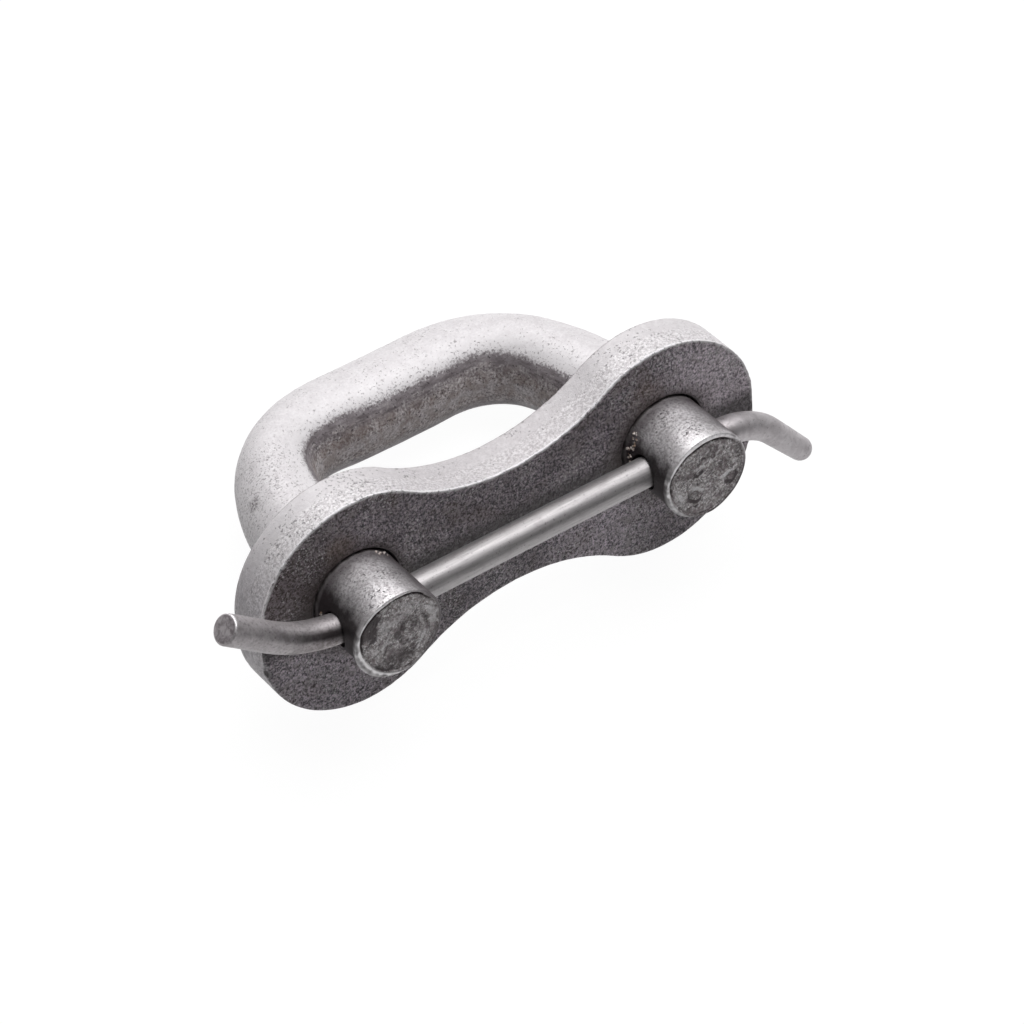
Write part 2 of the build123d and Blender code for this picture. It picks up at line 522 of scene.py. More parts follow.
def mark_the_round(mesh):
    """Stores `round`: 0 along the bow's outer side, 0.5 along its top and bottom, 1 along its inner side."""
    rounds = []
    for vertex in mesh.vertices:
        _, offset, _ = beside_line(Vector((abs(vertex.co.x), vertex.co.y)))
        rounds.append(atan2(abs(vertex.co.z), offset) / pi)
    store(mesh, "round", rounds)


def thin_the_corners(mesh):
    """Draws the inside of each corner of the bow back, most of all in the middle of its tight bend."""
    for vertex in mesh.vertices:
        side = 1 if vertex.co.x > 0 else -1
        flat = Vector((abs(vertex.co.x), vertex.co.y))
        if flat.y > SHOULDER_Y:
            outward, offset, along = beside_line(flat)
            thinning = CORNER_THINNING[side] * exp(-((along / THINNING_REACH) ** 2))
            moved = flat + outward * thinning * (0.5 - offset / (2 * BAR_RADIUS))
            vertex.co.x = side * moved.x
            vertex.co.y = moved.y


def held(value):
    """A number held between 0 and 1."""
    return min(1.0, max(0.0, value))


def near_heading(around, heading, width):
    """1 where an angle round the bar is at `heading`, falling to 0 at `width` degrees from it."""
    away = abs((degrees(around) - heading + 180) % 360 - 180) / width
    return max(0.0, 1 - away * away)


def shear_the_ends(mesh):
    """Gives the bow's sheared ends a spread lip, a ragged step inside it and a torn, scratched face.

    `cut_face` is 1 on the sheared face and 0 on the bar; `tone` is its patches with the painted highlight on
    the lip and painted shade in the step and dents, dark below 0.
    """
    marks = [shear(vertex) if vertex.co.y - END_Y < END_ZONE else (0.0, 0.0) for vertex in mesh.vertices]
    for name, values in zip(("cut_face", "tone"), zip(*marks)):
        store(mesh, name, values)


def shear(vertex):
    """Moves one point of a sheared end, and returns its `cut_face` and its `tone`."""
    face = tone = 0.0
    depth = vertex.co.y - END_Y
    side = 1 if vertex.co.x > 0 else -1
    out = Vector((vertex.co.x - side * ARM_X, vertex.co.z))
    reach = out.length
    around = atan2(out.y, out.x)
    ragged = noise.fractal(Vector((2.4 * cos(around), 2.4 * sin(around), 9.0 * side)), 0.9, 2.0, 4)
    whole = SHARPEST + (1 - SHARPEST) * near_heading(around, *ROUNDEST[side])
    flat_reach = BAR_RADIUS - END_ROUNDING
    moved = reach
    if reach > flat_reach and depth < END_ROUNDING + ROUNDING_START:
        moved = BAR_RADIUS - (BAR_RADIUS - reach) * whole
        vertex.co.y = END_Y + depth * whole
    elif depth < END_ROUNDING:
        moved = reach * (BAR_RADIUS - END_ROUNDING * whole) / flat_reach
    if reach > 0.01:
        out *= moved / reach
        vertex.co.x = side * ARM_X + out.x
        vertex.co.z = out.y
        reach = moved
    heading, spread = LIP_SPREAD[side]
    spread *= near_heading(around, heading, SPREAD_ANGLE) * max(0.0, 1 - depth / SPREAD_DEPTH) ** 2
    lip = BAR_RADIUS - LIP_WIDTH + LIP_RAGGEDNESS * ragged
    for heading, width, wide in LIP_WIDTHS[side]:
        lip -= wide * near_heading(around, heading, width) * (1 + 0.25 * ragged)
    step = near_heading(around, *STEP[side]) ** 0.6
    if depth < END_ROUNDING + 0.3:
        face = held((lip - reach) / LIP_FALL + 0.5)
        moat = max(0.0, 1 - abs(reach - lip + STEP_HALF_WIDTH) / (STEP_HALF_WIDTH + 0.06 * ragged))
        marks, tone = torn_face(out, side)
        vertex.co.y += face * (FACE_SINK + STEP_DEPTH * moat * step + 0.08 * moat + marks)
        # Painted shade in the ragged step inside the lip
        tone = face * max(-1.0, tone - 1.6 * moat * step - 0.35 * moat)
        # Painted highlight along the lip, strongest at its set heading
        highlight_share = 0.05 + 0.95 * near_heading(around, *LIP_HIGHLIGHT[side])
        chips = noise.noise(Vector((out.x * 1.5, out.y * 1.5, 3.0)))
        painted_lip_highlight = max(0.0, 1 - abs(reach - lip - 0.26 - 0.1 * chips) / (0.34 + 0.12 * ragged))
        tone += (1 - face) * highlight_share * (0.30 + 0.35 * chips + painted_lip_highlight * (0.7 + 0.6 * chips))
    if reach > 0.01:
        vertex.co.x += out.x / reach * spread
        vertex.co.z += out.y / reach * spread
    return face, tone


def leaning(away, lean):
    """A place's distances along and across a direction that leans by `lean` degrees."""
    return Matrix.Rotation(-radians(lean), 2) @ away


def torn_face(place, side):
    """Depth and tone of a sheared face at a place from its middle: patches, dents with painted lit and
    shaded sides, scratches and fine tearing.
    """
    warp = Vector((place.x, place.y, 5.0 * side))
    swirl = Vector((noise.noise(warp * 1.1), noise.noise(warp * 1.1 + Vector((9, 0, 0)))))
    torn = place + 0.35 * swirl
    fine = noise.noise(warp * 2.6)
    depth = noise.fractal(warp * 0.45, 0.8, 2.0, 3) * 0.10 + fine * 0.05
    tone = 0.34 * noise.fractal(warp * 1.3, 0.8, 2.0, 3) + 0.24 * fine
    for x, z, along, across, lean, shade, deep in PATCHES[side]:
        turned = leaning(torn - Vector((x, z)), lean)
        share = max(0.0, 1 - (turned.x / along) ** 2 - (turned.y / across) ** 2)
        tone += shade * min(1.0, 1.6 * share)
        depth += deep * share
    for x, z, radius, heading in DINGS[side]:
        # Each dent's rim gets painted light on the side at its heading and painted shade on the far side
        away = torn - Vector((x, z))
        ring = held(1.5 - abs(away.length - radius) / 0.24)
        facing = cos(atan2(away.y, away.x) - radians(heading))
        shade = 1.1 * max(0.0, facing) ** 2 - 0.9 * max(0.0, 0.45 - facing)
        tone += ring * shade * DING_TONE[side]
        depth += 0.10 * max(0.0, 1 - away.length / radius) - 0.06 * ring * facing
    for x, z, length, lean, width, shade, deep in SCRATCHES[side]:
        turned = leaning(torn - Vector((x, z)), lean)
        share = max(0.0, 1 - (2 * turned.x / length) ** 2) * max(0.0, 1 - abs(turned.y) / width)
        tone += shade * share
        depth += deep * share
    return depth, tone


def cut_cross_holes(bow):
    """Drills the pin's hole through both arms."""
    lying_across = Matrix.Translation((0, PIN_Y, 0)) @ Matrix.Rotation(pi / 2, 4, "Y")
    drill_mesh = bpy.data.meshes.new("drill")
    with reshaping(drill_mesh) as shape:
        bmesh.ops.create_cone(
            shape, cap_ends=True, segments=64, radius1=CROSS_HOLE_RADIUS, radius2=CROSS_HOLE_RADIUS,
            depth=80, matrix=lying_across,
        )
    drill = placed("drill", drill_mesh)
    cut = bow.modifiers.new("cross_holes", "BOOLEAN")
    cut.operation = "DIFFERENCE"
    cut.solver = "EXACT"
    cut.object = drill
    bow.data = settled(bow)
    bpy.data.objects.remove(drill)


def mend(mesh):
    """Clears the slivers that a cut leaves behind, so that the bar stays closed."""
    with reshaping(mesh) as shape:
        bmesh.ops.remove_doubles(shape, verts=shape.verts, dist=SLIVER)
        bmesh.ops.triangulate(shape, faces=shape.faces)
        bmesh.ops.dissolve_degenerate(shape, edges=shape.edges, dist=SLIVER)


def pin_stations():
    """The pin's centre line, from its cut left end to its rounded right tip, with its radius."""
    across = Vector((0, 1, 0))
    start, radius, turn, tail = LEFT_BEND
    left_start = Vector((start, PIN_Y, 0))
    left = Route(left_start, Vector((-1, 0, 0)), spacing=0.3)
    rounded = PIN_CUT_ROUNDING + ROUNDING_START
    points = left.arc(radius, turn, across) + left.run(tail - rounded)
    end = left.place + left.heading * rounded
    stations = face_stations(end, -left.heading, PIN_RADIUS, PIN_CUT_ROUNDING, rings=16)
    start, radius, turn, tail = RIGHT_BEND
    right = Route(left_start, Vector((1, 0, 0)), spacing=0.3)
    points = points[::-1] + [left_start] + right.run(start - left_start.x)
    stations += [(point, PIN_RADIUS) for point in points]
    drawn_down = right.arc(radius, turn, across) + right.run(tail)
    for i, point in enumerate(drawn_down):
        share = (i + 1) / len(drawn_down)
        stations.append((point, PIN_RADIUS + (PIN_TIP_RADIUS - PIN_RADIUS) * share))
    for lean in leans(16):
        tip = right.place + right.heading * PIN_TIP_RADIUS * sin(lean)
        stations.append((tip, max(POLE, PIN_TIP_RADIUS * cos(lean))))
    return stations


def plate_edge(spacing=0.4):
    """Points round the plate's outline and their outward directions, in the plane of the plate."""
    centre = Vector((PLATE_LENGTH / 2 - PLATE_CORNER, PLATE_WIDTH / 2 - PLATE_CORNER))
    rise = PLATE_WAIST / 2 - centre.y
    waist_radius = (centre.x**2 + rise**2 - PLATE_CORNER**2) / (2 * (PLATE_CORNER - rise))
    waist = Vector((0, PLATE_WAIST / 2 + waist_radius))
    lean = atan2(waist.y - centre.y, -centre.x)
    steps = ceil(centre.y / spacing)
    end = PLATE_LENGTH / 2
    quarter = [(Vector((end, centre.y * i / steps)), Vector((1, 0))) for i in range(steps)]
    steps = ceil(lean * PLATE_CORNER / spacing)
    for i in range(steps):
        out = Vector((cos(lean * i / steps), sin(lean * i / steps)))
        quarter.append((centre + out * PLATE_CORNER, out))
    sweep = lean - pi / 2
    steps = ceil(sweep * waist_radius / spacing)
    for i in range(steps + 1):
        angle = lean + pi - sweep * i / steps
        out = -Vector((cos(angle), sin(angle)))
        quarter.append((waist - out * waist_radius, out))
    upper = quarter + [(Vector((-p.x, p.y)), Vector((-o.x, o.y))) for p, o in quarter[-2::-1]]
    lower = [(Vector((p.x, -p.y)), Vector((o.x, -o.y))) for p, o in upper[-2:0:-1]]
    drop = Vector((0, -PLATE_DROP))
    return [(p + drop, o) for p, o in upper + lower]


def within(outline, places):
    """Which of the places lie inside a closed outline."""
    inside = np.zeros(len(places), bool)
    x, z = places.T
    for (x0, z0), (x1, z1) in zip(outline, np.roll(outline, -1, axis=0)):
        if z1 != z0:
            inside ^= ((z0 > z) != (z1 > z)) & (x < x0 + (z - z0) * (x1 - x0) / (z1 - z0))
    return inside


def clear_of_holes(places, gap):
    """Which of the places lie farther than `gap` outside the rims of the plate's holes."""
    return np.hypot(abs(places[:, 0]) - ARM_X, places[:, 1]) > HOLE_RADIUS + HOLE_CHAMFER + gap


def face_filling(ring, holes):
    """Triangles over the inside of `ring`, outside the round `holes`, with evenly spread points."""
    points, edges = [], []
    for loop in [ring, *holes]:
        first = len(points)
        points += loop
        edges += [(first + i, first + (i + 1) % len(loop)) for i in range(len(loop))]
    outline = np.array(ring)
    row_gap = GRID * 0.866
    spots = np.array([
        (-50 + (column + 0.5 * (row % 2)) * GRID, -30 + row * row_gap)
        for row in range(int(60 / row_gap))
        for column in range(int(100 / GRID))
    ])
    nearest = np.full(len(spots), 1e9)
    for x, z in outline:
        nearest = np.minimum(nearest, np.hypot(spots[:, 0] - x, spots[:, 1] - z))
    keep = within(outline, spots) & (nearest > GRID * 0.6) & clear_of_holes(spots, GRID * 0.5)
    points += [Vector(spot) for spot in spots[keep]]
    filled = delaunay_2d_cdt(points, edges, [], 0, 1e-5)
    verts, faces = filled[0], filled[2]
    middles = np.array([sum((verts[i] for i in face), Vector((0, 0))) / 3 for face in faces])
    wanted = within(outline, middles) & clear_of_holes(middles, -1e-4)
    return verts, [face for face, want in zip(faces, wanted) if want]


def plate_mesh():
    """The punched plate: front face, rim with its rolled inner edge, back face and two holes."""
    roll_start = PLATE_THICKNESS - ROLL_DEPTH
    edge_depth = FRONT_EDGE[-1][0]
    profile = list(FRONT_EDGE)
    profile += [(edge_depth + (roll_start - edge_depth) * i / 12, 0.0) for i in range(1, 13)]
    profile += [(roll_start + ROLL_DEPTH * sin(lean), ROLL_WIDTH * (1 - cos(lean))) for lean in leans(8)]
    bore = PLATE_THICKNESS - 2 * HOLE_CHAMFER
    flares = [(0.0, HOLE_CHAMFER), (HOLE_CHAMFER / 2, HOLE_CHAMFER / 2)]
    hole_profile = flares + [(HOLE_CHAMFER + bore * i / 12, 0.0) for i in range(13)]
    hole_profile += [(PLATE_THICKNESS - y, flare) for y, flare in flares[::-1]]
    outline = plate_edge()
    shape = bmesh.new()

    def row(points, y):
        return [shape.verts.new((p[0], y, p[1])) for p in points]

    def skin(rows, flip):
        for first, second in zip(rows, rows[1:]):
            for i in range(len(first)):
                j = (i + 1) % len(first)
                quad = [first[i], first[j], second[j], second[i]]
                shape.faces.new(quad[::-1] if flip else quad)

    rim = []
    for y, inset in profile:
        ring = []
        for p, o in outline:
            share = 1.0
            if y > roll_start:
                share = LEAST_ROLL + (1 - LEAST_ROLL) * held(-o.y * 2 - 0.6)
            spot = p - o * inset * share
            ring.append(shape.verts.new((spot.x, PLATE_THICKNESS - (PLATE_THICKNESS - y) * share, spot.y)))
        rim.append(ring)
    skin(rim, False)
    walls = []
    circle = [Vector((cos(2 * pi * i / 120), sin(2 * pi * i / 120))) for i in range(120)]
    for side in (-1, 1):
        middle = Vector((side * ARM_X, 0))
        wall = [row([middle + c * (HOLE_RADIUS + flare) for c in circle], y) for y, flare in hole_profile]
        skin(wall, True)
        walls.append(wall)
    for y, end in ((0.0, 0), (PLATE_THICKNESS, -1)):
        loops = [[Vector((v.co.x, v.co.z)) for v in rows[end]] for rows in (rim, *walls)]
        verts, faces = face_filling(loops[0], loops[1:])
        made = row(verts, y)
        for face in faces:
            shape.faces.new([made[i] for i in face])
    bmesh.ops.remove_doubles(shape, verts=shape.verts, dist=0.002)
    bmesh.ops.recalc_face_normals(shape, faces=shape.faces)
    for face in shape.faces:
        face.smooth = True
    mesh = bpy.data.meshes.new("plate_blank")
    shape.to_mesh(mesh)
    shape.free()
    return mesh


def mark_the_plate(mesh):
    """Raises the ragged burr along the plate's front edge, tears a notch, and stores `edge` and `bore`;
    `bore` marks the holes' walls for their painted shade.
    """
    outline = np.array([point for point, _ in plate_edge()])
    edges, bores = [], []
    for vertex in mesh.vertices:
        x, y, z = vertex.co
        edge = 0.0
        if y < 0.6:
            away = np.min(np.hypot(outline[:, 0] - x, outline[:, 1] - z))
            edge = max(0.0, 1 - away / BURR_WIDTH)
            if edge and y < 0.2:
                ragged = noise.fractal(Vector((x, z, 0.0)) * 0.55, 0.8, 2.0, 4)
                upper = min(1.0, max(0.15, (z + 2.0) / 6.0))
                torn = max(0.0, 1 - hypot(x - NOTCH_X, (z - NOTCH_Z) / 1.6) / NOTCH_REACH)
                torn *= max(0.0, 0.5 + 0.9 * ragged)
                vertex.co.y += edge * (torn - upper * max(0.0, 0.16 + 0.22 * ragged))
                edge -= 2.2 * torn
        edges.append(edge)
        bores.append(1.0 if hypot(abs(x) - ARM_X, z) < HOLE_RADIUS + 0.2 else 0.0)
    store(mesh, "edge", edges)
    store(mesh, "bore", bores)


def crumb_points():
    """Where crumbs of scale have caught on the arms, close in front of the plate."""
    places = []
    for side, heading, y, spread, count in CRUMB_HEAPS:
        for _ in range(count):
            chance = noise.random_vector()
            around = radians(heading) + spread * chance.x / BAR_RADIUS
            reach = BAR_RADIUS + CRUMB_LIFT
            front = min(-0.2, y + spread * chance.y)
            places.append((side * ARM_X + reach * cos(around), front, reach * sin(around)))
    mesh = bpy.data.meshes.new("crumb_places")
    mesh.from_pydata(places, [], [])
    return mesh


# ---- finishes

# Places and areas are in millimetres with the bow flat. An area is its middle, the distance up to
# which it counts whole, and the distance where it is gone.
SPECKED_CORNER = (-30.0, 24.0, 3.0), 4.0, 15.0
CORNER_DING = (-30.4, 20.5, 4.6), 0.4, 1.6
SPECK_CLUSTERS = [(24.5, -3.0, 6.6), (26.5, -8.0, 7.0), (-25.0, -6.0, 6.8), (-29.0, -9.0, 6.0)]
BROWN_LOBE = (-36.5, 0, 6.0), 3.0, 13.0
# Areas where the plate's face is lighter
LIGHTER_LOBE = (37.0, 0, 5.0), 4.0, 16.0
LIGHTER_LOWER_AREAS = [((-33.0, 0, -13.0), 4.0, 15.0), ((16.0, 0, -12.0), 4.0, 14.0)]
RUST_RED_AREAS = [((24.0, 0, 8.5), 1.0, 5.0), ((-29.0, 0, 9.0), 1.0, 4.0)]
WORN_RING_RADIUS = 9.2
WORN_RING_PART = (19.5, 0, 6.5), 3.0, 8.0
# Painted shade over the rim's waist
SHADED_WAIST = (-3.0, 3.5, 9.0), 8.0, 26.0
# The pin's shadow on the plate is painted: a dark band along the front face
SHADED_BY_PIN = 1.4  # the pin's shade lies this far below the holes' middle
# Painted glint on the edge of the pin's cut end
CUT_END_GLINT = (-49.5, -4.3, 11.7), 1.4, 3.6


def new_metal(name):
    metal = bpy.data.materials.new(name)
    metal.use_nodes = True
    metal.node_tree.nodes.clear()
    bench = Bench(metal.node_tree)
    shader = bench.put("ShaderNodeBsdfPrincipled")
    bench.put("ShaderNodeOutputMaterial", {0: shader.outputs[0]})
    return metal, bench, shader


def flat_place(bench):
    """Where a point of the surface is, in millimetres with the bow flat."""
    return bench.made("ShaderNodeMapping", {
        "Vector": bench.put("ShaderNodeTexCoord").outputs["Object"],
        "Location": Matrix.Rotation(LYING, 3, "X") @ -SET_DOWN,
        "Rotation": (LYING, 0, 0),
        "Scale": (1000, 1000, 1000),
    })


def tumbled_bar():
    """The bow's finish: pale outside with a painted highlight above the inner edge, rough dark scale inside
    with painted floor light along its middle, satin ends with painted shade under, beside and at the root,
    and dull sheared faces with painted lip highlights and painted shade in their steps and dents.
    """
    metal, bench, shader = new_metal("tumbled_bar_steel")
    where = flat_place(bench)
    x, y, z = where.split()
    arm = y.ramp(-0.6, 1.2, 1.0, 0.0)
    cut_face, tone, round_the_bar = (bench.mark(name) for name in ("cut_face", "tone", "round"))
    slow = where.noise(0.10, 3.0)
    blotch = where.noise(0.6, 4.0, 0.6)
    grain = where.noise(2.8, 3.0, 0.6)
    streaks = bench.vector("MULTIPLY", where, (0.5, 0.5, 2.2)).noise(0.7, 4.0, 0.65)

    crowd = bench.most(
        where.noise(0.22, 3.0).ramp(0.45, 0.60) * 0.6,
        where.spot(*SPECKED_CORNER),
        round_the_bar.ramp(0.62, 0.74, 0.0, 0.75),
    )
    specks = where.flecks(2.7, 0.055, crowd)
    pale = grain.grade(0.3, 0.7, steel(0.64), steel(0.78)).coats(
        (blotch.ramp(0.46, 0.66, 0.0, 0.4), steel(0.56)),
        # Painted highlight on the pale top just above the edge of the inner side
        (round_the_bar.ramp(0.54, 0.70, 0.0, 0.6), steel(0.90)),
        (specks * 0.6, steel(0.18)),
        (where.spot(*CORNER_DING) * grain.ramp(0.40, 0.56), steel(0.16)),
    )

    edge = round_the_bar + (grain - 0.5) * 0.14 + (slow - 0.5) * 0.06
    inner = edge.ramp(0.735, 0.775)
    # Painted floor light: lighter speckled scale along the middle of the inner side
    speckled = grain.grade(0.36, 0.62, steel(0.16, 0.10), steel(0.74, 0.02)).coats(
        (round_the_bar.ramp(0.93, 0.99, 0.0, 0.4), steel(0.80)),
        (blotch.ramp(0.44, 0.60, 0.0, 0.6), steel(0.22, 0.16)),
    )
    scale = streaks.grade(0.36, 0.64, steel(0.15, 0.01), steel(0.32)).coats(
        ((edge + (streaks - 0.5) * 0.2).ramp(0.82, 0.92), speckled),
        (where.flecks(1.9, 0.11) * 0.8, steel(0.05)),
    )

    wander = (blotch - 0.5) * 3.2
    # Height round the arms, setting their painted shade
    under = z + wander + x.ramp(-1.0, 1.0, -0.55, 0.45)
    from_middle = x - bench.sum("SIGN", x) * ARM_X
    clusters = blotch.ramp(0.40, 0.52, 0.0, 0.5)
    clusters = bench.most(clusters, *(where.spot(place, 0.8, 3.6) for place in SPECK_CLUSTERS))
    arm_specks = where.flecks(2.7, 0.045, clusters)
    # Satin ends with painted shade: dark on the undersides, darker on the far sides and at the roots by the
    # plate, leaving a lighter band along the tops
    satin_and_painted_shade = grain.grade(0.38, 0.58, steel(0.50), steel(0.86)).coats(
        (blotch.ramp(0.52, 0.66, 0.0, 0.4), steel(0.46)),
        (under.ramp(2.9, 5.7, 0.97, 0.0, smooth=True), steel(0.035, 0.03)),
        ((from_middle + wander * 0.4).ramp(1.2, 4.8, 0.0, 0.85), (0.142, 0.124, 0.132, 1.0)),
        ((y + wander * 0.5).ramp(-3.6, -0.2, 0.0, 0.75), (0.115, 0.092, 0.101, 1.0)),
        (arm_specks * 0.75, steel(0.06)),
    )

    tears = abs(where.noise(0.55, 4.0, 0.6, 0.8) - 0.5)
    small_tears = abs(where.noise(1.3, 3.0, 0.6, 0.5) - 0.46)
    tears = bench.most(
        tears.ramp(0.006, 0.034, 1.0, 0.0),
        small_tears.ramp(0.004, 0.024, 0.75, 0.0),
    ) * grain.ramp(0.40, 0.55) * cut_face
    dull = grain.grade(0.40, 0.58, steel(0.26, 0.06), (1.0, 0.96, 0.98, 1.0)).coats(
        (blotch.ramp(0.48, 0.60, 0.0, 0.7), (0.29, 0.235, 0.25, 1.0)),
        (tears * 0.95, steel(0.04, 0.12)),
    )

    # Darker and mottled where the arms run through the plate
    through_the_plate = blotch.grade(0.44, 0.60, steel(0.13, 0.06), steel(0.42, 0.01)).coats(
        (grain.ramp(0.42, 0.60, 0.0, 0.5), steel(0.10, 0.05)),
    )
    base = pale.coats(
        (inner, scale),
        (arm, satin_and_painted_shade),
        (y.ramp(-0.5, 0.3) * (y + blotch).ramp(7.3, 8.3, 1.0, 0.0), through_the_plate),
        (cut_face, dull),
        # The sheared ends' tone: dark patches and painted shade, bright patches and painted highlights
        (tone.ramp(-0.8, 0.0, 0.95, 0.0), (0.062, 0.047, 0.050, 1.0)),
        (tone.ramp(0.0, 0.8, 0.0, 0.92), steel(0.98)),
    )
    height = grain * inner.ramp(0.0, 1.0, 0.3, 1.0) - specks - arm_specks * arm - tears
    rough = bench.colour(arm, slow.ramp(0.3, 0.7, 0.48, 0.58), blotch.ramp(0.3, 0.7, 0.42, 0.52))
    bench.fill(shader, {
        "Base Color": base,
        "Metallic": (arm * (1.0 - cut_face)).ramp(0.0, 1.0, 0.12, 0.55),
        "Roughness": bench.most(rough, cut_face * 0.55),
        "Normal": bench.bump(height, 0.06, 0.9),
    })
    return metal


def punched_plate():
    """The plate's finish: dark speckled faces with painted glints, painted shade round the arms, in the
    holes and along the pin, and a pale rim that is smoother where the punch rolled it, with a painted
    highlight along the burr and painted shade over its waist.
    """
    metal, bench, shader = new_metal("punched_plate_steel")
    where = flat_place(bench)
    x, y, z = where.split()
    edge = bench.mark("edge")
    front = y.ramp(0.02, 0.16, 1.0, 0.0)
    flat = bench.most(front, y.ramp(6.6, 6.95))
    grain = where.noise(2.7, 3.0, 0.85)
    middling = where.noise(1.5, 4.0, 0.8, 0.6)
    coarse = where.noise(0.95, 4.0, 0.7, 0.9)
    swirl = where.noise(0.42, 5.0, 0.72, 1.6)
    blotch = where.noise(0.16, 3.0, 0.6)
    patchy = where.noise(0.11, 3.0, 0.6)
    mix = grain * 0.42 + middling * 0.38 + swirl * 0.20

    brown_lobe, lighter_lobe = where.spot(*BROWN_LOBE), where.spot(*LIGHTER_LOBE)
    lighter_lower = bench.most(*(where.spot(*area) for area in LIGHTER_LOWER_AREAS))
    rust_red = bench.most(*(where.spot(*area) for area in RUST_RED_AREAS))
    speckle = (mix + bench.most(lighter_lower, lighter_lobe) * 0.024).ramp(0.465, 0.562)
    shade = patchy.ramp(0.35, 0.65, -0.5, 0.5)
    shade = shade + lighter_lobe * 0.8 + lighter_lower * 0.8 - brown_lobe * 1.1
    brown = bench.most(patchy.ramp(0.46, 0.36), brown_lobe)
    dark = bench.colour(brown * 0.8, (0.088, 0.078, 0.088, 1.0), steel(0.060, 0.22))
    light = shade.grade(-0.7, 0.8, (0.40, 0.34, 0.37, 1.0), (1.0, 0.88, 0.98, 1.0))

    def speckles(under, over):
        return bench.colour(speckle, under, over)

    # Painted glints: bright specks where light would catch the grain
    painted_glints = where.flecks(2.4, 0.055, blotch.ramp(0.42, 0.60))
    # Painted shadow of the pin, a dark band along the front face
    painted_pin_shadow = abs(z + SHADED_BY_PIN).ramp(1.0, 4.2, 1.0, 0.0, smooth=True)
    painted_pin_shadow = painted_pin_shadow * coarse.ramp(0.30, 0.60, 1.0, 0.75)
    worn_ring = abs(bench.vector("DISTANCE", where, (ARM_X, 0, 0)) - WORN_RING_RADIUS)
    worn_ring = worn_ring.ramp(0.5, 1.8, 0.5, 0.0) * where.spot(*WORN_RING_PART)
    face = speckles(dark, light).coats(
        (lighter_lobe * 0.65, speckles((0.26, 0.225, 0.25, 1.0), (0.98, 0.88, 0.95, 1.0))),
        (swirl.ramp(0.50, 0.62, 0.0, 0.7), speckles(steel(0.11, 0.08), steel(0.30, 0.02))),
        (
            swirl.ramp(0.44, 0.34, 0.0, 0.55),
            speckles((0.16, 0.138, 0.155, 1.0), (0.86, 0.76, 0.84, 1.0)),
        ),
        (rust_red * 0.45, speckles(steel(0.09, 0.35), steel(0.30, 0.22))),
        (painted_glints * 0.8, steel(0.92)),
        (painted_pin_shadow * front, steel(0.015, 0.10)),
        (worn_ring, speckles((0.24, 0.20, 0.21, 1.0), (0.86, 0.80, 0.82, 1.0))),
    )
    # Painted shade round each arm's root, browned like dirt
    for side in (-1, 1):
        around = bench.vector("DISTANCE", where, (side * ARM_X - 0.8, 0, -0.4))
        dirt_and_painted_shade = (around + coarse * 2.0).ramp(8.6, 11.8, 0.75, 0.0)
        face = bench.colour(dirt_and_painted_shade, face, steel(0.055, 0.15))

    rough_rim = grain.grade(0.40, 0.60, steel(0.48), steel(0.86))
    smooth_rim = coarse.grade(0.35, 0.65, steel(0.60), steel(0.72))
    mottled = mix.grade(0.45, 0.56, (0.21, 0.192, 0.213, 1.0), (0.58, 0.545, 0.588, 1.0)).coats(
        (swirl.ramp(0.46, 0.60, 0.0, 0.6), steel(0.24, 0.03)),
    )
    worn_edge = y.ramp(0.15, 0.9, 1.0, 0.0) * grain.ramp(0.36, 0.60)
    # Painted shade over the rim's waist, greyed
    waist_shade = mix.grade(0.40, 0.60, steel(0.30), steel(0.56))
    rim = (y + coarse).grade(3.9, 4.6, rough_rim, smooth_rim).coats(
        ((x + z * 0.4).ramp(-41.0, -33.0, 0.5, 0.0), mottled),
        (worn_edge * 0.45, steel(0.86)),
        (where.spot(*SHADED_WAIST) * 0.42, waist_shade),
    )

    # Painted highlight along the burr of the front edge, brightest along the upper edge
    upper_edge = z.ramp(-2.0, 3.0)
    waver = y + (coarse - 0.5) * 0.5
    burr = edge.ramp(0.2, 0.6) * waver.ramp(0.16, 0.34, 1.0, 0.0)
    burr = burr * coarse.ramp(0.36, 0.46) * upper_edge.ramp(0.0, 1.0, 0.15, 0.95)
    specks = where.flecks(1.9, 0.05, blotch.ramp(0.45, 0.6))
    base = rim.coats(
        (flat, face),
        (burr, steel(0.98)),
        (specks * 0.6, steel(0.06)),
        (edge.ramp(-0.5, -0.05, 0.9, 0.0), steel(0.04, 0.08)),
        # Painted shade on the walls of the holes
        (bench.mark("bore") * y.ramp(0.05, 0.3), steel(0.03, 0.1)),
    )
    height = (speckle - specks) * flat.ramp(0.0, 1.0, 0.22, 1.0)
    bench.fill(shader, {
        "Base Color": base,
        "Metallic": 0.15,
        "Roughness": speckle.ramp(0.0, 1.0, 0.62, 0.42),
        "Normal": bench.bump(height, 0.07, 1.0),
    })
    return metal


